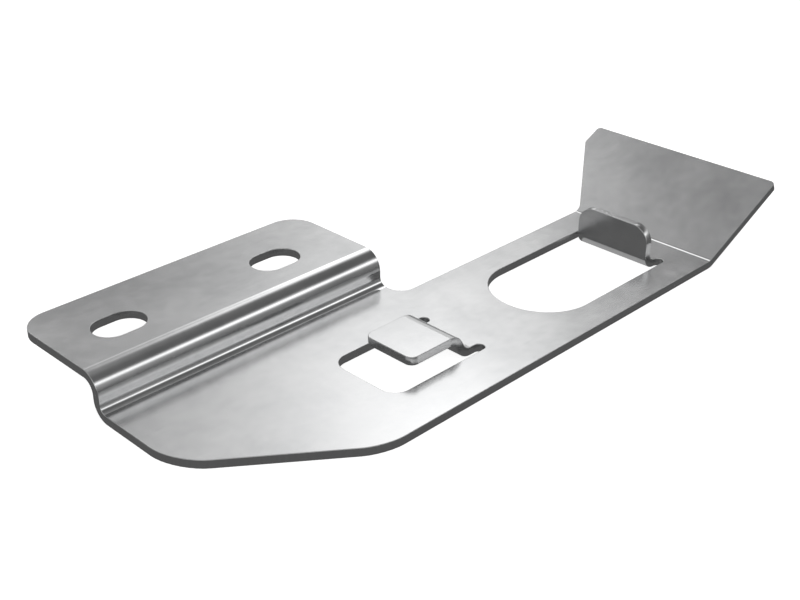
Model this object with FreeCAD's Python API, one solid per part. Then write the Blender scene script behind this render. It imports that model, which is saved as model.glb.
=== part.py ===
"""Stamped metal bracket: one sheet, blanked, lanced and folded upward from its base strip.

The strip lies along X with its front edge on Y = 0 before centring, its underside on Z = 0.
"""
import FreeCAD, Part
import math
import os

os.makedirs("parts", exist_ok=True)

# Sheet, the same gauge everywhere, and the inside radius of the base's own folds.
SHEET = 1.5
FOLD_R = 1.5

# Base strip, from its left end to the sharp line where the end flange turns up.
FOLD_X = 105.2
STRIP_W = 30.5
# Front left corner, cut away along an oblique edge: where that edge would meet
# the front edge and the left end, and the radius at both of its ends.
CUT_X = 23.7
CUT_Y = 18.0
CUT_R = 10.5

# Raised mounting flange: a joggle lifts it above the base along the left part of the strip.
FLANGE_LEN = 57.0
DEPTH = 58.0
FLANGE_RISE = 6.0
JOGGLE_Y = 35.5
SHOULDER_R = 2.0
FLANGE_R = 5.0
NOTCH_R = 3.0
# Two adjusting slots along the flange, for M6 screws.
SLOT_W = 6.5
SLOT_LEN = 9.2
SLOT_PITCH = 31.3
SLOT_X = 11.4
SLOT_INSET = 11.5

# Relief slits beside each tongue that is lanced from the base.
RELIEF_W = 1.85

# Hook: a tongue raised by a steep joggle and left level, clear of the base by its gap.
HOOK_OPEN_X = 33.4
HOOK_OPEN_W = 14.1
HOOK_OPEN_R = 2.9
HOOK_TIP_X = 38.8
HOOK_ROOT_X = 52.1
HOOK_RELIEF = 2.0
HOOK_GAP = 1.9
HOOK_ANGLE = 65.0
HOOK_FOLD_R = 1.7
HOOK_TIP_R = 1.4

# Lug: a tongue folded square to the base, out of a window with a nearly round end.
LUG_OPEN_X = 67.1
LUG_OPEN_W = 18.9
LUG_OPEN_R = 9.35
LUG_ROOT_X = 98.6
LUG_RELIEF = 1.0
LUG_FOLD_R = 1.2
LUG_H = 6.7
LUG_R = 3.2

# End flange: leans up from the strip and flares backward to its full width.
END_ANGLE = 25.0
END_LEN = 22.0
END_W = 40.9
FLARE_START = 1.2
FLARE_STOP = 17.2
FLARE_R = 2.8
END_R = 0.9

# Everything below follows from the sizes above.
MIDDLE_Y = STRIP_W / 2
BASE_TOP = SHEET
FLANGE_TOP = BASE_TOP + FLANGE_RISE
HOOK_TOP = BASE_TOP + HOOK_GAP + SHEET
END_COS = math.cos(math.radians(END_ANGLE))
END_SIN = math.sin(math.radians(END_ANGLE))
# The flat base gives way to the end fold at this distance before the sharp fold line.
END_JOIN_X = FOLD_X - FOLD_R * math.tan(math.radians(END_ANGLE / 2)) - SHEET
TOTAL_LEN = FOLD_X + END_LEN * END_COS + SHEET * END_SIN
SPARE = 2 * SHEET


def vec(a, b, c=0.0):
    return FreeCAD.Vector(a, b, c)


def plan(p):
    """A point of a plan outline, on the underside of the base."""
    return vec(p.x, p.y, 0)


def along_x(p):
    """A point (x, z) of a section that runs along the strip."""
    return vec(p.x, 0, p.y)


def across(p):
    """A point (y, z) of a section or outline that stands across the strip."""
    return vec(0, p.x, p.y)


def face(corners, at):
    """Face with straight sides, where each corner (a, b, radius) is rounded by its own radius."""
    spans = []
    for i, (a, b, radius) in enumerate(corners):
        here = vec(a, b)
        before = vec(*corners[i - 1][:2]) - here
        after = vec(*corners[(i + 1) % len(corners)][:2]) - here
        if radius == 0:
            spans.append((here, None, here))
            continue
        before.normalize()
        after.normalize()
        half = before.getAngle(after) / 2
        inward = before + after
        inward.normalize()
        reach = radius / math.tan(half)
        middle = here + inward * (radius / math.sin(half) - radius)
        spans.append((here + before * reach, middle, here + after * reach))
    edges = []
    for i, (start, middle, stop) in enumerate(spans):
        if middle is not None:
            edges.append(Part.Arc(at(start), at(middle), at(stop)).toShape())
        following = spans[(i + 1) % len(spans)][0]
        if (following - stop).Length > 1e-6:
            edges.append(Part.makeLine(at(stop), at(following)))
    return Part.Face(Part.Wire(edges))


def section(line, radii, side):
    """Corners of the folded sheet's section.

    The line is the sheet's upper face and radii are the inside radii of its folds. The lower
    face lies one gauge to the right of the line where side is 1, to its left where it is -1.
    """
    steps = [vec(*line[i + 1]) - vec(*line[i]) for i in range(len(line) - 1)]
    for step in steps:
        step.normalize()
    upper, lower = [], []
    for i, point in enumerate(line):
        first, second = steps[max(i - 1, 0)], steps[min(i, len(steps) - 1)]
        off_1 = vec(first.y, -first.x) * side
        off_2 = vec(second.y, -second.x) * side
        off = (off_1 + off_2) * (SHEET / (1 + off_1.dot(off_2)))
        turn = (first.x * second.y - first.y * second.x) * side
        inside = radii[i - 1] if 0 < i < len(line) - 1 else 0
        outside = inside + SHEET if inside else 0
        upper.append((point[0], point[1], inside if turn > 0 else outside))
        lower.append((point[0] + off.x, point[1] + off.y, outside if turn > 0 else inside))
    return upper + lower[::-1]


def base_plate():
    """Flat strip with the oblique corner and the rounded notch beside the joggle."""
    join_y = JOGGLE_Y - FOLD_R
    outline = [
        (0, join_y, 0), (0, CUT_Y, CUT_R), (CUT_X, 0, CUT_R), (END_JOIN_X, 0, 0),
        (END_JOIN_X, STRIP_W, 0), (FLANGE_LEN, STRIP_W, NOTCH_R), (FLANGE_LEN, join_y, 0),
    ]
    return face(outline, plan).extrude(vec(0, 0, SHEET))


def raised_flange():
    """Joggle and mounting flange, with rounded outer corners and the two slots."""
    line = [
        (JOGGLE_Y - FOLD_R, BASE_TOP), (JOGGLE_Y, BASE_TOP), (JOGGLE_Y, FLANGE_TOP),
        (DEPTH, FLANGE_TOP),
    ]
    folded = face(section(line, [FOLD_R, SHOULDER_R], 1), across).extrude(vec(FLANGE_LEN, 0, 0))
    outline = [
        (0, 0, 0), (FLANGE_LEN, 0, 0), (FLANGE_LEN, DEPTH, FLANGE_R), (0, DEPTH, FLANGE_R),
    ]
    flange = folded.common(face(outline, plan).extrude(vec(0, 0, FLANGE_TOP + SPARE)))
    row_y = DEPTH - SLOT_INSET
    for centre in (SLOT_X, SLOT_X + SLOT_PITCH):
        flange = flange.cut(slot(centre, row_y))
    return flange


def slot(x, y):
    """Round ended slot through the flange, its length along X."""
    a, b, r = SLOT_LEN / 2, SLOT_W / 2, SLOT_W / 2
    straight = a - r
    ends = [
        Part.makeLine(vec(x - straight, y - b), vec(x + straight, y - b)),
        Part.Arc(vec(x + straight, y - b), vec(x + a, y), vec(x + straight, y + b)).toShape(),
        Part.makeLine(vec(x + straight, y + b), vec(x - straight, y + b)),
        Part.Arc(vec(x - straight, y + b), vec(x - a, y), vec(x - straight, y - b)).toShape(),
    ]
    return Part.Face(Part.Wire(ends)).extrude(vec(0, 0, FLANGE_TOP + SPARE))


def opening(start_x, root_x, width, radius, relief):
    """Window from which a tongue is lifted, with a relief slit past each side of its root."""
    low, high = MIDDLE_Y - width / 2, MIDDLE_Y + width / 2
    outline = [
        (start_x, low, radius), (root_x, low, 0), (root_x, high, 0), (start_x, high, radius),
    ]
    cut = face(outline, plan).extrude(vec(0, 0, SHEET))
    end_x = root_x + relief
    back = RELIEF_W / 2
    for edge in (low, high - RELIEF_W):
        slit = [
            (root_x - back, edge, 0), (end_x, edge, back * 0.999),
            (end_x, edge + RELIEF_W, back * 0.999), (root_x - back, edge + RELIEF_W, 0),
        ]
        cut = cut.fuse(face(slit, plan).extrude(vec(0, 0, SHEET)))
    return cut


def hook():
    """Tongue that rises from its root, then runs level toward the left end."""
    tan_half = math.tan(math.radians(HOOK_ANGLE / 2))
    foot_x = HOOK_ROOT_X - HOOK_FOLD_R * tan_half
    brow_x = foot_x - (HOOK_TOP - BASE_TOP) / math.tan(math.radians(HOOK_ANGLE))
    line = [
        (HOOK_ROOT_X, BASE_TOP), (foot_x, BASE_TOP), (brow_x, HOOK_TOP), (HOOK_TIP_X, HOOK_TOP),
    ]
    width = HOOK_OPEN_W - 2 * RELIEF_W
    folded = face(section(line, [HOOK_FOLD_R, HOOK_FOLD_R], -1), along_x)
    folded.translate(vec(0, MIDDLE_Y - width / 2, 0))
    folded = folded.extrude(vec(0, width, 0))
    low, high = MIDDLE_Y - width / 2, MIDDLE_Y + width / 2
    outline = [
        (HOOK_TIP_X, low, HOOK_TIP_R), (HOOK_ROOT_X, low, 0), (HOOK_ROOT_X, high, 0),
        (HOOK_TIP_X, high, HOOK_TIP_R),
    ]
    return folded.common(face(outline, plan).extrude(vec(0, 0, HOOK_TOP + SPARE)))


def lug():
    """Tongue that stands square to the base, with rounded upper corners."""
    line = [
        (LUG_ROOT_X, BASE_TOP), (LUG_ROOT_X - LUG_FOLD_R, BASE_TOP),
        (LUG_ROOT_X - LUG_FOLD_R, BASE_TOP + LUG_H),
    ]
    width = LUG_OPEN_W - 2 * RELIEF_W
    low, high = MIDDLE_Y - width / 2, MIDDLE_Y + width / 2
    folded = face(section(line, [LUG_FOLD_R], -1), along_x)
    folded.translate(vec(0, low, 0))
    folded = folded.extrude(vec(0, width, 0))
    outline = [
        (low, 0, 0), (high, 0, 0), (high, BASE_TOP + LUG_H, LUG_R), (low, BASE_TOP + LUG_H, LUG_R),
    ]
    return folded.common(face(outline, across).extrude(vec(LUG_ROOT_X, 0, 0)))


def end_flange():
    """Leaning flange: its outline is drawn square to the sheet, measured from the fold line."""
    line = [
        (END_JOIN_X, BASE_TOP), (FOLD_X, BASE_TOP),
        (FOLD_X + END_LEN * END_COS, BASE_TOP + END_LEN * END_SIN),
    ]
    folded = face(section(line, [FOLD_R], 1), along_x).extrude(vec(0, END_W, 0))
    back = END_JOIN_X - FOLD_X - SPARE
    outline = [
        (back, 0, 0), (END_LEN, 0, END_R), (END_LEN, END_W, END_R), (FLARE_STOP, END_W, 0),
        (FLARE_START, STRIP_W, FLARE_R), (back, STRIP_W, 0),
    ]
    shape = face(outline, plan).extrude(vec(0, 0, 3 * SPARE))
    shape.translate(vec(0, 0, -2 * SPARE))
    shape.rotate(vec(0, 0, 0), vec(0, 1, 0), -END_ANGLE)
    shape.translate(vec(FOLD_X, 0, BASE_TOP))
    return folded.common(shape)


def bracket():
    """The whole folded sheet as one solid, centred over its box with its underside on Z = 0."""
    base = base_plate()
    base = base.cut(opening(HOOK_OPEN_X, HOOK_ROOT_X, HOOK_OPEN_W, HOOK_OPEN_R, HOOK_RELIEF))
    base = base.cut(opening(LUG_OPEN_X, LUG_ROOT_X, LUG_OPEN_W, LUG_OPEN_R, LUG_RELIEF))
    sheet = base.fuse([raised_flange(), hook(), lug(), end_flange()]).removeSplitter()
    sheet.translate(vec(-TOTAL_LEN / 2, -DEPTH / 2, 0))
    return sheet.Solids[0]


bracket().exportStep("parts/bracket.step")
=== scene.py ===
"""Looks of the stamped metal bracket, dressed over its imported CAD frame.

The bracket is one sheet. Its blank is drawn flat, scored along every fold and then folded up,
as the press does, and the gauge is added below the upper face. Sizes are in millimetres, on
the flat base strip's own axes: X along the strip, Y across it, Z up from its underside.
"""
from __future__ import annotations

import logging
import math
from dataclasses import dataclass, field
from enum import Enum
from typing import Any, Callable, Iterable

import bmesh
import bpy
from mathutils import Matrix, Vector

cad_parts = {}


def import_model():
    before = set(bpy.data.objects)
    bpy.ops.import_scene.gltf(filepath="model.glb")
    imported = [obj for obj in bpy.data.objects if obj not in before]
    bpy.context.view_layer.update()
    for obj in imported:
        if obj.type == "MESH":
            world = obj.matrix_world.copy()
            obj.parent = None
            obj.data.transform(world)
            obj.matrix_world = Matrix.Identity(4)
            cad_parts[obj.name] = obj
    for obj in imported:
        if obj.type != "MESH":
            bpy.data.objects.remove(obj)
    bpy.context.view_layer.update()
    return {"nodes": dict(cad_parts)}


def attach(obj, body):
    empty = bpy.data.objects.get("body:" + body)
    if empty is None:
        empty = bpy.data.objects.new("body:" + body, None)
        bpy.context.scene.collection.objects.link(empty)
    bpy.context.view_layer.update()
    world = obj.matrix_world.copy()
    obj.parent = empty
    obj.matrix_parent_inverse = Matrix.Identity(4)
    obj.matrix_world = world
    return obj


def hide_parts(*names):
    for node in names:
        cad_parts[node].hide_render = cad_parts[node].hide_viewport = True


logging.basicConfig(level=logging.INFO, format="%(message)s")
LOG = logging.getLogger("bracket")

MM = 0.001
UP = Vector((0.0, 0.0, 1.0))
FACET_ANGLE = 6.0  # degrees of a round that one facet stands for
LEAST_FACETS = 4  # facets of the smallest round
FLAT_ANGLE = 0.5  # degrees within which faces count as one flat
SCORE_NEAR = 1e-4  # a corner this near a score line lies on it
PAST_SCORE = 1e-3  # a point this far past a fold's start moves with it
SCORE_DIGITS = 4  # decimals by which the points of one score line are grouped
ROUND_END = 0.999  # share of a half width that a corner's radius may take
GLOW_FALLOFF = 0.7  # how fast a glow fades: its exponent at the half width


def facets(angle: float) -> int:
    """How many facets stand for a round of this many degrees."""
    return max(LEAST_FACETS, round(angle / FACET_ANGLE))


# --- Shader building -----------------------------------------------------------------------


class Value:
    """A shader socket whose arithmetic adds Math nodes."""

    def __init__(self, tree: "Tree", socket: bpy.types.NodeSocket) -> None:
        """Wraps one output socket of a tree."""
        self.tree = tree
        self.socket = socket

    def _math(self, operation: str, first: Any, second: Any) -> "Value":
        """Adds one Math node on two terms."""
        return self.tree.add("ShaderNodeMath", {"operation": operation}, {0: first, 1: second})

    def __add__(self, other: Any) -> "Value":
        """self + other."""
        return self._math("ADD", self, other)

    def __radd__(self, other: Any) -> "Value":
        """other + self."""
        return self._math("ADD", other, self)

    def __sub__(self, other: Any) -> "Value":
        """self - other."""
        return self._math("SUBTRACT", self, other)

    def __rsub__(self, other: Any) -> "Value":
        """other - self."""
        return self._math("SUBTRACT", other, self)

    def __mul__(self, other: Any) -> "Value":
        """self * other."""
        return self._math("MULTIPLY", self, other)

    def __rmul__(self, other: Any) -> "Value":
        """other * self."""
        return self._math("MULTIPLY", other, self)

    def at_most(self, other: Any) -> "Value":
        """The smaller of the two."""
        return self._math("MINIMUM", self, other)


@dataclass(frozen=True)
class Cloud:
    """One scale of cloudiness.

    Args:
        size: Width of one patch, in millimetres.
        stretch: How many times longer the patches are along each axis.
        detail: Octaves of the noise.
    """

    size: float
    stretch: tuple[float, float, float] = (1.0, 1.0, 1.0)
    detail: float = 2.0


class Tree:
    """Node tree of one material or world, emptied and rebuilt."""

    def __init__(self, owner: bpy.types.Material | bpy.types.World) -> None:
        """Empties the owner's tree.

        Args:
            owner: The material or world whose nodes are built.
        """
        owner.use_nodes = True
        self.nodes = owner.node_tree.nodes
        self.links = owner.node_tree.links
        self.nodes.clear()

    def add(
        self,
        kind: str,
        settings: dict[str, Any] | None = None,
        inputs: dict[Any, Any] | None = None,
        output: int | str = 0,
    ) -> Value:
        """Adds a node.

        Args:
            kind: Blender's name of the node type.
            settings: Properties, set before the sockets.
            inputs: Values or links of the sockets, by name or index.
            output: The output socket that is handed back.

        Returns:
            That output, wrapped.
        """
        node = self.nodes.new(kind)
        for name, value in (settings or {}).items():
            setattr(node, name, value)
        for key, value in (inputs or {}).items():
            socket = node.inputs[key]
            if isinstance(value, Value):
                self.links.new(value.socket, socket)
            else:
                socket.default_value = value
        return Value(self, node.outputs[output] if node.outputs else None)

    def blend(self, mask: Value, low: tuple[float, ...], high: tuple[float, ...]) -> Value:
        """A colour between two, by a mask from 0 to 1."""
        colours = {0: mask, 6: (*low, 1.0), 7: (*high, 1.0)}
        return self.add("ShaderNodeMix", {"data_type": "RGBA"}, colours, 2)

    def cloud(self, cloud: Cloud) -> Value:
        """Noise on the piece's own coordinates.

        Args:
            cloud: Its size, stretch and detail.

        Returns:
            Its factor, about 0.5 on average.
        """
        place = self.add("ShaderNodeTexCoord", output="Object")
        scale = tuple(1.0 / s for s in cloud.stretch)
        mapped = self.add("ShaderNodeMapping", {}, {"Vector": place, "Scale": scale})
        return self.add(
            "ShaderNodeTexNoise",
            {},
            {"Vector": mapped, "Scale": 1.0 / (cloud.size * MM), "Detail": cloud.detail},
            "Fac",
        )


# --- Finishes ------------------------------------------------------------------------------


@dataclass(frozen=True)
class RolledSteel:
    """Cold rolled steel sheet: an even, slightly blurred mirror with cloudy patches.

    Args:
        name: Name of the material.
        dull: Colour of the darkest patches.
        clear: Colour of the lightest patches.
        roughness: Blur of the reflection, on average.
        roughness_spread: How much the patches change it.
        patch: The broad patches.
        mottle: The small patches.
        grain: The rolling grain, along the strip.
        shares: Shares of patch, mottle and grain in the shade.
        tones: Shades that give the darkest and the lightest colour.
        wave: Slow waves of the surface.
        wave_height: Their height, in millimetres.
        relief: Height of mottle and grain, as shares of the waves'.
    """

    name: str = "rolled_steel"
    dull: tuple[float, float, float] = (0.60, 0.605, 0.61)
    clear: tuple[float, float, float] = (0.74, 0.742, 0.745)
    roughness: float = 0.24
    roughness_spread: float = 0.14
    patch: Cloud = Cloud(11.0, (1.4, 1.0, 1.0), 3.0)
    mottle: Cloud = Cloud(2.4, detail=4.0)
    grain: Cloud = Cloud(0.35, (22.0, 1.0, 1.0))
    shares: tuple[float, float, float] = (0.62, 0.28, 0.10)
    tones: tuple[float, float] = (0.34, 0.66)
    wave: Cloud = Cloud(12.65, (1.0, 1.2, 1.0), 1.0)
    wave_height: float = 0.020
    relief: tuple[float, float] = (0.05, 0.012)

    def material(self) -> bpy.types.Material:
        """Builds the finish.

        Returns:
            The finish as a Blender material.
        """
        made = bpy.data.materials.new(self.name)
        tree = Tree(made)
        mottle = tree.cloud(self.mottle)
        grain = tree.cloud(self.grain)
        broad, small, fine = self.shares
        shade = tree.cloud(self.patch) * broad + mottle * small + grain * fine
        darkest, lightest = self.tones
        tone = tree.add(
            "ShaderNodeMapRange",
            {"clamp": True},
            {"Value": shade, "From Min": darkest, "From Max": lightest},
        )
        rough = self.roughness + (shade - 0.5) * self.roughness_spread
        raised, scratched = self.relief
        height = tree.cloud(self.wave) + mottle * raised + grain * scratched
        bump = tree.add(
            "ShaderNodeBump",
            {},
            {"Height": height, "Distance": self.wave_height * MM, "Strength": 1.0},
            "Normal",
        )
        shader = tree.add(
            "ShaderNodeBsdfPrincipled",
            {},
            {
                "Base Color": tree.blend(tone, self.dull, self.clear),
                "Metallic": 1.0,
                "Roughness": rough,
                "Normal": bump,
            },
        )
        tree.add("ShaderNodeOutputMaterial", {}, {"Surface": shader})
        return made


@dataclass(frozen=True)
class ShearedEdge:
    """Face left by the blanking shear: duller and darker, drawn down through the gauge.

    Args:
        name: Name of the material.
        deep: Colour of its darkest places.
        pale: Colour of its lightest places.
        roughness: Blur of the reflection, on average.
        roughness_spread: How much the shade changes it.
        tear: Streaks down through the gauge.
        patch: Patches along the edge.
        tear_share: Share of the streaks in the shade.
        tear_depth: Depth of the streaks, in millimetres.
        tear_strength: How strongly they show.
    """

    name: str = "sheared_edge"
    deep: tuple[float, float, float] = (0.54, 0.542, 0.545)
    pale: tuple[float, float, float] = (0.70, 0.702, 0.705)
    roughness: float = 0.24
    roughness_spread: float = 0.2
    tear: Cloud = Cloud(0.5, (1.0, 1.0, 9.0), 3.0)
    patch: Cloud = Cloud(5.0)
    tear_share: float = 0.55
    tear_depth: float = 0.02
    tear_strength: float = 0.6

    def material(self) -> bpy.types.Material:
        """Builds the finish.

        Returns:
            The finish as a Blender material.
        """
        made = bpy.data.materials.new(self.name)
        tree = Tree(made)
        tears = tree.cloud(self.tear)
        shade = tears * self.tear_share + tree.cloud(self.patch) * (1.0 - self.tear_share)
        bump = tree.add(
            "ShaderNodeBump",
            {},
            {
                "Height": tears,
                "Distance": self.tear_depth * MM,
                "Strength": self.tear_strength,
            },
            "Normal",
        )
        shader = tree.add(
            "ShaderNodeBsdfPrincipled",
            {},
            {
                "Base Color": tree.blend(shade, self.deep, self.pale),
                "Metallic": 1.0,
                "Roughness": self.roughness + (shade - 0.5) * self.roughness_spread,
                "Normal": bump,
            },
        )
        tree.add("ShaderNodeOutputMaterial", {}, {"Surface": shader})
        return made


# --- The folded sheet ----------------------------------------------------------------------


@dataclass(frozen=True)
class Corner:
    """Corner of a flat outline, with the radius that rounds it."""

    x: float
    y: float
    radius: float = 0.0

    def at(self) -> Vector:
        """Its place in the blank, in millimetres."""
        return Vector((self.x, self.y, 0.0))


class Turn(Enum):
    """Which way a fold turns what lies beyond it."""

    UP = 1
    DOWN = -1


class Slot(Enum):
    """Material slots of the sheet, where a face's rim takes the slot after its own."""

    FLAT = 0
    FLAT_RIM = 1
    BEND = 2
    BEND_RIM = 3


@dataclass(frozen=True)
class Fold:
    """One fold of the sheet, measured on its upper face.

    Args:
        start: Where the fold begins in the blank, along its outward direction.
        outward: Direction away from the root, in the blank's plane.
        angle: How far it turns, in degrees.
        radius: Radius of the upper face.
        turn: Up or down.
        holds: Tells whether a point of the blank lies in the part that this fold moves.
    """

    start: float
    outward: Vector
    angle: float
    radius: float
    turn: Turn
    holds: Callable[[Vector], bool]

    @property
    def length(self) -> float:
        """Length of the upper face taken up by the fold."""
        return math.radians(self.angle) * self.radius

    def bends(self, place: Vector) -> bool:
        """Is a point of the blank in the strip that this fold bends?"""
        beyond = place.dot(self.outward) - self.start
        return 0.0 < beyond < self.length and self.holds(place)

    def scores(self) -> list[float]:
        """Distances of the score lines that the fold is made on."""
        count = facets(self.angle)
        return [self.start + self.length * i / count for i in range(count + 1)]


@dataclass
class Bracket:
    """The folded sheet, with the sizes of the CAD part.

    A window is its start along X, its width and the radius of its corners. The cut is where
    the oblique corner meets the two sides, and its radius. The flare is where the end's side
    begins and stops widening, past the fold, and the radius where it begins. What moves with
    a tongue's fold lies at least hook_beyond or lug_beyond past its window's start, and within
    margin of the tongue's sides.
    """

    gauge: float = 1.5
    fold_r: float = 1.5
    strip_w: float = 30.5
    fold_x: float = 105.2
    cut: tuple[float, float, float] = (23.7, 18.0, 10.5)
    flange_len: float = 57.0
    depth: float = 58.0
    rise: float = 6.0
    joggle_y: float = 35.5
    shoulder_r: float = 2.0
    flange_r: float = 5.0
    notch_r: float = 3.0
    slot_size: tuple[float, float] = (9.2, 6.5)
    slot_x: tuple[float, float] = (11.4, 42.7)
    slot_inset: float = 11.5
    relief_w: float = 1.85
    hook_window: tuple[float, float, float] = (33.4, 14.1, 2.9)
    hook_tip_x: float = 38.8
    hook_root_x: float = 52.1
    hook_relief: float = 2.0
    hook_gap: float = 1.9
    hook_angle: float = 65.0
    hook_fold_r: float = 1.7
    hook_tip_r: float = 1.4
    lug_window: tuple[float, float, float] = (67.1, 18.9, 9.35)
    lug_root_x: float = 98.6
    lug_relief: float = 1.0
    lug_fold_r: float = 1.2
    lug_h: float = 6.7
    lug_r: float = 3.2
    end_angle: float = 25.0
    end_len: float = 22.0
    end_w: float = 40.9
    flare: tuple[float, float, float] = (1.2, 17.2, 2.8)
    end_r: float = 0.9
    flare_tip_r: float = 0.25
    edge_break: float = 0.11
    break_angle: float = 50.0
    break_segments: int = 2
    bend_roughness: float = 0.15
    margin: float = 0.01
    hook_beyond: float = 0.5
    lug_beyond: float = 12.0
    folds: list[Fold] = field(default_factory=list)

    def __post_init__(self) -> None:
        """Works out the folds, outermost first in each chain."""
        self.middle = self.strip_w / 2
        self._plan_flange()
        self._plan_hook()
        self._plan_lug()
        self._plan_end()
        turn = math.radians(self.end_angle)
        length = self.fold_x + self.end_len * math.cos(turn) + self.gauge * math.sin(turn)
        self.centre = Vector((length / 2, self.depth / 2, 0.0))

    def _plan_flange(self) -> None:
        """The joggle: a fold up, a short wall and a fold back to level."""
        across = Vector((0.0, 1.0, 0.0))
        first = self.joggle_y - self.fold_r
        crown = self.shoulder_r + self.gauge
        wall = self.rise - self.fold_r - crown
        reach = self.flange_len + self.margin

        def holds(p: Vector) -> bool:
            """Is the point in the flange?"""
            return p.x < reach

        low = Fold(first, across, 90.0, self.fold_r, Turn.UP, holds)
        high = Fold(first + low.length + wall, across, 90.0, crown, Turn.DOWN, holds)
        self.flange_shift = high.start + high.length - (self.joggle_y + crown)
        self.folds += [high, low]

    def _tongue(self, width: float) -> tuple[float, float]:
        """Low and high side of a tongue, from the width of its window."""
        half = width / 2 - self.relief_w
        return self.middle - half, self.middle + half

    def _plan_hook(self) -> None:
        """The hook: a steep joggle that leaves the tongue level above the base."""
        back = Vector((-1.0, 0.0, 0.0))
        low, high = self._tongue(self.hook_window[1])
        near = self.hook_window[0] + self.hook_beyond
        root = self.hook_root_x
        turn = math.radians(self.hook_angle)
        crown = self.hook_fold_r + self.gauge
        lift = self.hook_gap + self.gauge
        web = (lift - (self.hook_fold_r + crown) * (1 - math.cos(turn))) / math.sin(turn)
        run = (self.hook_fold_r + crown) * math.sin(turn) + web * math.cos(turn)

        def holds(p: Vector) -> bool:
            """Is the point in the tongue?"""
            return low - self.margin < p.y < high + self.margin and near < p.x

        first = Fold(-root, back, self.hook_angle, self.hook_fold_r, Turn.UP, holds)
        second = Fold(
            -root + first.length + web, back, self.hook_angle, crown, Turn.DOWN, holds
        )
        flat = root - run - self.hook_tip_x
        self.hook_tip = -(second.start + second.length + flat)
        self.folds += [second, first]

    def _plan_lug(self) -> None:
        """The lug: one fold square to the base."""
        back = Vector((-1.0, 0.0, 0.0))
        low, high = self._tongue(self.lug_window[1])
        near = self.lug_window[0] + self.lug_beyond

        def holds(p: Vector) -> bool:
            """Is the point in the tongue?"""
            return low - self.margin < p.y < high + self.margin and near < p.x

        fold = Fold(-self.lug_root_x, back, 90.0, self.lug_fold_r, Turn.UP, holds)
        self.lug_tip = -(fold.start + fold.length + self.lug_h - self.lug_fold_r)
        self.folds.append(fold)

    def _plan_end(self) -> None:
        """The leaning end flange."""
        turn = math.radians(self.end_angle)
        tangent = self.fold_r * math.tan(turn / 2)
        along = Vector((1.0, 0.0, 0.0))
        fold = Fold(
            self.fold_x - tangent, along, self.end_angle, self.fold_r, Turn.UP, lambda p: True
        )
        self.end_zero = fold.start + fold.length - tangent
        self.folds.append(fold)

    def _outline(self) -> list[Corner]:
        """Outer edge of the blank.

        Returns:
            Its corners, in order.
        """
        cut_x, cut_y, cut_r = self.cut
        start, stop, flare_r = self.flare
        far = self.depth + self.flange_shift
        end = self.end_zero
        return [
            Corner(0.0, cut_y, cut_r),
            Corner(cut_x, 0.0, cut_r),
            Corner(end + self.end_len, 0.0, self.end_r),
            Corner(end + self.end_len, self.end_w, self.end_r),
            Corner(end + stop, self.end_w, self.flare_tip_r),
            Corner(end + start, self.strip_w, flare_r),
            Corner(self.flange_len, self.strip_w, self.notch_r),
            Corner(self.flange_len, far, self.flange_r),
            Corner(0.0, far, self.flange_r),
        ]

    def _window(
        self,
        window: tuple[float, float, float],
        tip: float,
        tip_r: float,
        end: float,
    ) -> list[Corner]:
        """Cut round one tongue.

        Args:
            window: Start along X, width and corner radius.
            tip: Where the flat tongue ends.
            tip_r: Radius of the tongue's corners.
            end: Where the relief slits end.

        Returns:
            The corners of the cut, round the window and both slits.
        """
        start, width, radius = window
        low, high = self._tongue(width)
        round_end = self.relief_w / 2 * ROUND_END
        return [
            Corner(start, low - self.relief_w, radius),
            Corner(end, low - self.relief_w, round_end),
            Corner(end, low, round_end),
            Corner(tip, low, tip_r),
            Corner(tip, high, tip_r),
            Corner(end, high, round_end),
            Corner(end, high + self.relief_w, round_end),
            Corner(start, high + self.relief_w, radius),
        ]

    def _slot(self, x: float) -> list[Corner]:
        """One adjusting slot, in the blank.

        Args:
            x: Where its middle lies along X.

        Returns:
            Its four corners, in order.
        """
        a, b = self.slot_size[0] / 2, self.slot_size[1] / 2
        y = self.depth - self.slot_inset + self.flange_shift
        signs = ((-1, -1), (1, -1), (1, 1), (-1, 1))
        return [Corner(x + i * a, y + j * b, b * ROUND_END) for i, j in signs]

    @staticmethod
    def _draw(bm: bmesh.types.BMesh, corners: list[Corner]) -> None:
        """Draws one closed outline and rounds its corners.

        Args:
            bm: The blank.
            corners: The outline's corners, in order.
        """
        points = [bm.verts.new(c.at()) for c in corners]
        for here, there in zip(points, points[1:] + points[:1]):
            bm.edges.new((here, there))
        count = len(corners)
        for i, corner in enumerate(corners):
            if corner.radius <= 0.0:
                continue
            before = (corners[i - 1].at() - corner.at()).normalized()
            after = (corners[(i + 1) % count].at() - corner.at()).normalized()
            inner = before.angle(after)
            bmesh.ops.bevel(
                bm,
                geom=[points[i]],
                offset=corner.radius / math.tan(inner / 2),
                offset_type="OFFSET",
                affect="VERTICES",
                segments=facets(math.degrees(math.pi - inner)),
                profile=0.5,
                material=-1,
            )

    def _blank(self) -> bmesh.types.BMesh:
        """The flat blank's upper face, filled between its outline and its cuts.

        Returns:
            The blank, in millimetres on Z = 0.
        """
        bm = bmesh.new()
        self._draw(bm, self._outline())
        hook_end = self.hook_root_x + self.hook_relief
        lug_end = self.lug_root_x + self.lug_relief
        hook = self._window(self.hook_window, self.hook_tip, self.hook_tip_r, hook_end)
        lug = self._window(self.lug_window, self.lug_tip, self.lug_r, lug_end)
        self._draw(bm, hook)
        self._draw(bm, lug)
        for x in self.slot_x:
            self._draw(bm, self._slot(x))
        bmesh.ops.triangle_fill(
            bm, use_beauty=True, use_dissolve=False, edges=bm.edges[:], normal=UP
        )
        self._merge_flats(bm)
        return bm

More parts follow.
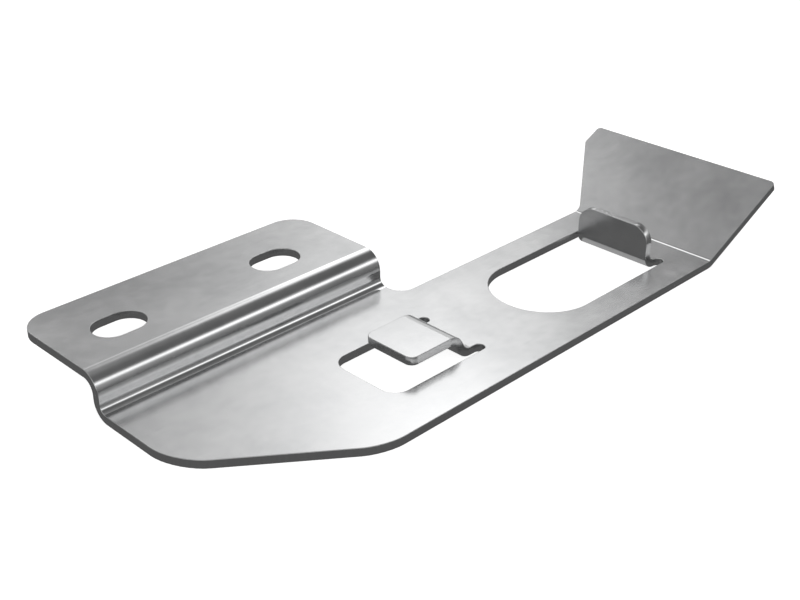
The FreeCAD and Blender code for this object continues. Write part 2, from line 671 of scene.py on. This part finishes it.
    @staticmethod
    def _merge_flats(bm: bmesh.types.BMesh) -> None:
        """Joins faces that lie in one plane, so that the flats shade evenly.

        Args:
            bm: The blank, flat or folded.
        """
        bmesh.ops.dissolve_limit(
            bm, angle_limit=math.radians(FLAT_ANGLE), verts=bm.verts[:], edges=bm.edges[:]
        )

    def _fold(self, bm: bmesh.types.BMesh) -> None:
        """Scores the blank along every fold, marks the bends, then folds it.

        Args:
            bm: The flat blank, in millimetres with its upper face on Z = 0.
        """
        for fold in self.folds:
            for distance in fold.scores():
                bmesh.ops.bisect_plane(
                    bm,
                    geom=bm.verts[:] + bm.edges[:] + bm.faces[:],
                    dist=SCORE_NEAR,
                    plane_co=fold.outward * distance,
                    plane_no=fold.outward,
                )
        for face in bm.faces:
            if any(fold.bends(face.calc_center_median()) for fold in self.folds):
                face.material_index = Slot.BEND.value
        flat = {v: v.co.copy() for v in bm.verts}
        for fold in self.folds:
            groups: dict[float, list[bmesh.types.BMVert]] = {}
            for vert, place in flat.items():
                beyond = place.dot(fold.outward) - fold.start
                if beyond > PAST_SCORE and fold.holds(place):
                    taken = round(min(beyond, fold.length), SCORE_DIGITS)
                    groups.setdefault(taken, []).append(vert)
            sign = float(fold.turn.value)
            pivot = fold.outward * fold.start + UP * (sign * fold.radius)
            axis = fold.outward.cross(UP)
            for taken, verts in groups.items():
                turn = Matrix.Rotation(sign * taken / fold.radius, 3, axis)
                bmesh.ops.translate(bm, verts=verts, vec=fold.outward * -taken)
                bmesh.ops.rotate(bm, verts=verts, cent=pivot, matrix=turn)
        self._merge_flats(bm)

    def build(self) -> bpy.types.Object:
        """Makes the sheet at its place in the row frame.

        Returns:
            The finished object, with its modifiers live.
        """
        bm = self._blank()
        self._fold(bm)
        bmesh.ops.translate(bm, verts=bm.verts, vec=UP * self.gauge - self.centre)
        bmesh.ops.scale(bm, verts=bm.verts, vec=(MM, MM, MM))
        for face in bm.faces:
            face.smooth = True
        mesh = bpy.data.meshes.new("folded_sheet")
        bm.to_mesh(mesh)
        bm.free()
        sheet = bpy.data.objects.new("folded_sheet", mesh)
        bpy.context.scene.collection.objects.link(sheet)
        sheared = ShearedEdge().material()
        finishes = {
            Slot.FLAT: RolledSteel().material(),
            Slot.FLAT_RIM: sheared,
            Slot.BEND: RolledSteel("burnished_bend", roughness=self.bend_roughness).material(),
            Slot.BEND_RIM: sheared,
        }
        for slot in Slot:
            mesh.materials.append(finishes[slot])
        self._thicken(sheet)
        return sheet

    def _thicken(self, sheet: bpy.types.Object) -> None:
        """Adds the gauge below the upper face, and breaks its sheared edges.

        Args:
            sheet: The folded upper face.
        """
        shell = sheet.modifiers.new("gauge", "SOLIDIFY")
        shell.thickness = self.gauge * MM
        shell.offset = -1.0
        shell.use_even_offset = True
        shell.material_offset_rim = Slot.FLAT_RIM.value - Slot.FLAT.value
        broken = sheet.modifiers.new("edge_break", "BEVEL")
        broken.limit_method = "ANGLE"
        broken.angle_limit = math.radians(self.break_angle)
        broken.width = self.edge_break * MM
        broken.segments = self.break_segments
        broken.use_clamp_overlap = False
        evened = sheet.modifiers.new("even_normals", "WEIGHTED_NORMAL")
        evened.mode = "FACE_AREA"
        evened.keep_sharp = False


# --- Studio --------------------------------------------------------------------------------


@dataclass(frozen=True)
class Glow:
    """Soft patch of light on the tent's wall, seen from the bracket.

    Args:
        azimuth: Heading of its middle in degrees, from +X towards +Y.
        elevation: Height of its middle above the floor, in degrees.
        half_width: Half its width, in degrees.
        half_height: Half its height, in degrees.
        tilt: How far its width is turned upward, in degrees.
        level: Light at its middle; a negative one takes light away, as a black flag does.
    """

    azimuth: float
    elevation: float
    half_width: float
    half_height: float
    tilt: float
    level: float


@dataclass(frozen=True)
class Card:
    """Photographer's card under the bracket, which only the metal's reflections meet.

    Args:
        name: Name of the card and its material.
        x: Its middle along X, in millimetres as all its sizes.
        y: Its middle along Y.
        length: Its size along X.
        width: Its size along Y.
        lift: Its height, just below the bracket's underside.
        level: How light it is.
    """

    name: str
    x: float
    y: float
    length: float
    width: float
    lift: float
    level: float


@dataclass
class Studio:
    """Plain floor, a light tent and the camera of the photograph.

    The stage's sizes are in metres, but for floor_drop, which is in millimetres. The camera
    is turned by its pitch and its heading, in degrees.
    """

    tent_radius: float = 3.0
    tent_parts: tuple[int, int] = (48, 24)
    tent_foot: float = -0.02
    floor_size: float = 5.6
    floor_drop: float = 0.05
    floor_colour: float = 0.82
    floor_shine: float = 0.86
    fill: float = 0.5
    lens: float = 56.93
    sensor: float = 36.0
    clip: tuple[float, float] = (0.005, 20.0)
    camera_place: tuple[float, float, float] = (-0.14094, -0.13340, 0.10382)
    camera_pitch: float = 61.52
    camera_heading: float = -44.98
    ambient: float = 0.14
    glows: tuple[Glow, ...] = (
        Glow(33.5, 44.3, 8.8, 7.9, 62.0, 1.58),
        Glow(42.0, 35.6, 5.9, 3.4, -10.0, 2.0),
        Glow(43.0, 22.6, 5.5, 39.0, -37.0, 0.72),
        Glow(-49.7, 30.2, 19.9, 5.7, -12.0, 1.75),
        Glow(74.0, 36.6, 3.4, 14.3, 0.0, 1.7),
        Glow(102.0, 15.0, 30.0, 9.0, 0.0, 0.6),
        Glow(175.0, 30.0, 24.0, 12.0, 0.0, 0.75),
        Glow(-135.0, 32.0, 24.0, 12.0, 0.0, 1.1),
        Glow(-98.0, 20.0, 24.0, 10.0, 0.0, 0.55),
        Glow(-14.0, 19.0, 15.0, 9.0, 0.0, 0.45),
        Glow(60.0, 84.0, 14.0, 14.0, 0.0, 0.5),
        Glow(31.0, 28.6, 3.2, 6.4, -15.0, -0.27),
    )
    cards: tuple[Card, ...] = (
        Card("dark_card", 0.0, 0.0, 2400.0, 2400.0, -0.03, 0.13),
        Card("light_card", 33.8, -13.75, 3.8, 15.3, -0.02, 0.42),
    )

    @staticmethod
    def _seen(tree: Tree) -> Value:
        """1 for the camera and for what metal or glass shows, 0 for the rays that light.

        Args:
            tree: The nodes of the floor's or the world's looks.

        Returns:
            That mask.
        """
        path = tree.add("ShaderNodeLightPath", output="Is Camera Ray")
        node = path.socket.node
        glossy = Value(tree, node.outputs["Is Glossy Ray"])
        through = Value(tree, node.outputs["Is Transmission Ray"])
        return (path + glossy + through).at_most(1.0)

    @staticmethod
    def _direction(azimuth: float, elevation: float) -> Vector:
        """Unit vector toward a point of the sky."""
        a, e = math.radians(azimuth), math.radians(elevation)
        return Vector((math.cos(a) * math.cos(e), math.sin(a) * math.cos(e), math.sin(e)))

    def world(self) -> None:
        """White behind everything, and a soft fill for the rays that light."""
        world = bpy.data.worlds.new("studio")
        bpy.context.scene.world = world
        tree = Tree(world)
        colour = tree.blend(self._seen(tree), (self.fill,) * 3, (1.0,) * 3)
        shader = tree.add("ShaderNodeBackground", {}, {"Color": colour, "Strength": 1.0})
        tree.add("ShaderNodeOutputWorld", {}, {"Surface": shader})

    def tent(self) -> bpy.types.Object:
        """Light tent round the bracket, whose wall glows softly in a few places.

        Returns:
            The tent, which the camera does not see.
        """
        bm = bmesh.new()
        round_parts, high_parts = self.tent_parts
        bmesh.ops.create_uvsphere(
            bm, u_segments=round_parts, v_segments=high_parts, radius=self.tent_radius
        )
        bmesh.ops.bisect_plane(
            bm,
            geom=bm.verts[:] + bm.edges[:] + bm.faces[:],
            plane_co=UP * self.tent_foot,
            plane_no=-UP,
            clear_outer=True,
        )
        bmesh.ops.reverse_faces(bm, faces=bm.faces)
        for face in bm.faces:
            face.smooth = True
        tent = self._place("light_tent", bm)
        tent.visible_camera = False
        tent.visible_shadow = False
        made = bpy.data.materials.new("tent_wall")
        tree = Tree(made)
        ray = tree.add("ShaderNodeTexCoord", output="Object")
        heading = tree.add("ShaderNodeVectorMath", {"operation": "NORMALIZE"}, {0: ray})
        total: Value | float = self.ambient
        for glow in self.glows:
            total = self._glow(tree, heading, glow) + total
        shader = tree.add("ShaderNodeEmission", {}, {"Color": total})
        tree.add("ShaderNodeOutputMaterial", {}, {"Surface": shader})
        tent.data.materials.append(made)
        return tent

    def _glow(self, tree: Tree, heading: Value, glow: Glow) -> Value:
        """Level of one soft patch, by the direction from the bracket.

        Args:
            tree: The tent's nodes.
            heading: Unit vector from the bracket to the wall.
            glow: The patch.

        Returns:
            Its share of the wall's light.
        """
        middle = self._direction(glow.azimuth, glow.elevation)
        roll = Matrix.Rotation(math.radians(glow.tilt), 3, middle)
        side = roll @ UP.cross(middle).normalized()
        over = middle.cross(side)

        def along(axis: Vector) -> Value:
            """Component of the heading along an axis.

            Args:
                axis: The axis, of unit length.

            Returns:
                That component.
            """
            return tree.add(
                "ShaderNodeVectorMath",
                {"operation": "DOT_PRODUCT"},
                {0: heading, 1: tuple(axis)},
                "Value",
            )

        a = along(side) * (1.0 / math.sin(math.radians(glow.half_width)))
        b = along(over) * (1.0 / math.sin(math.radians(glow.half_height)))
        spread = a * a + b * b
        fade = tree.add(
            "ShaderNodeMath", {"operation": "EXPONENT"}, {0: spread * -GLOW_FALLOFF}
        )
        ahead = tree.add(
            "ShaderNodeMath", {"operation": "GREATER_THAN"}, {0: along(middle), 1: 0.0}
        )
        return fade * ahead * glow.level

    @staticmethod
    def _place(name: str, bm: bmesh.types.BMesh) -> bpy.types.Object:
        """Turns a bmesh into a stage object.

        Args:
            name: Name of the object.
            bm: Its shape, in metres at its place.

        Returns:
            The object.
        """
        mesh = bpy.data.meshes.new(name)
        bm.to_mesh(mesh)
        bm.free()
        made = bpy.data.objects.new(name, mesh)
        bpy.context.scene.collection.objects.link(made)
        return made

    def floor(self) -> bpy.types.Object:
        """Plain pale floor that keeps the bracket's soft shadow.

        Returns:
            The floor, which is clear from below.
        """
        bm = bmesh.new()
        bmesh.ops.create_grid(bm, x_segments=1, y_segments=1, size=self.floor_size / 2)
        bmesh.ops.translate(bm, verts=bm.verts, vec=UP * -self.floor_drop * MM)
        floor = self._place("floor", bm)
        made = bpy.data.materials.new("pale_floor")
        tree = Tree(made)
        colour = (*(self.floor_colour,) * 3, 1.0)
        paint = tree.add("ShaderNodeBsdfDiffuse", {}, {"Color": colour})
        glow = self._seen(tree) * self.floor_shine
        shine = tree.add("ShaderNodeEmission", {}, {"Color": glow})
        lit = tree.add("ShaderNodeAddShader", {}, {0: paint, 1: shine})
        under = tree.add("ShaderNodeNewGeometry", output="Backfacing")
        clear = tree.add("ShaderNodeBsdfTransparent")
        shown = tree.add("ShaderNodeMixShader", {}, {0: under, 1: lit, 2: clear})
        tree.add("ShaderNodeOutputMaterial", {}, {"Surface": shown})
        floor.data.materials.append(made)
        return floor

    def card(self, card: Card) -> bpy.types.Object:
        """Lays one card over the floor.

        Args:
            card: Its size, place and level.

        Returns:
            The card.
        """
        bm = bmesh.new()
        bmesh.ops.create_grid(bm, x_segments=1, y_segments=1, size=1 / 2)
        bmesh.ops.scale(bm, verts=bm.verts, vec=(card.length * MM, card.width * MM, 1.0))
        middle = Vector((card.x, card.y, card.lift)) * MM
        bmesh.ops.translate(bm, verts=bm.verts, vec=middle)
        laid = self._place(card.name, bm)
        laid.visible_camera = False
        laid.visible_diffuse = False
        laid.visible_transmission = False
        laid.visible_shadow = False
        made = bpy.data.materials.new(card.name)
        tree = Tree(made)
        shader = tree.add("ShaderNodeEmission", {}, {"Strength": card.level})
        tree.add("ShaderNodeOutputMaterial", {}, {"Surface": shader})
        laid.data.materials.append(made)
        return laid

    def camera(self) -> bpy.types.Object:
        """Camera at the photograph's angle: 28.5 degrees down, between +X and +Y.

        Returns:
            The camera.
        """
        data = bpy.data.cameras.new("camera")
        data.lens = self.lens
        data.sensor_width = self.sensor
        data.sensor_fit = "HORIZONTAL"
        data.clip_start, data.clip_end = self.clip
        camera = bpy.data.objects.new("camera", data)
        bpy.context.scene.collection.objects.link(camera)
        camera.location = self.camera_place
        pitch, heading = math.radians(self.camera_pitch), math.radians(self.camera_heading)
        camera.rotation_euler = (pitch, 0.0, heading)
        bpy.context.scene.camera = camera
        return camera

    def build(self) -> list[bpy.types.Object]:
        """Sets the whole stage.

        Returns:
            Its objects.
        """
        self.world()
        bpy.context.scene.view_settings.view_transform = "Standard"
        cards = [self.card(card) for card in self.cards]
        return [self.floor(), *cards, self.tent(), self.camera()]


def main() -> None:
    """Builds the bracket and its stage."""
    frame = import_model()
    LOG.info("frame: %s", sorted(frame["nodes"]))
    sheet = Bracket().build()
    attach(sheet, "root")
    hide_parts("bracket")
    LOG.info("%s: %d faces before its modifiers", sheet.name, len(sheet.data.polygons))
    for piece in Studio().build():
        LOG.info("%s is set", piece.name)


if __name__ == "__main__":
    main()
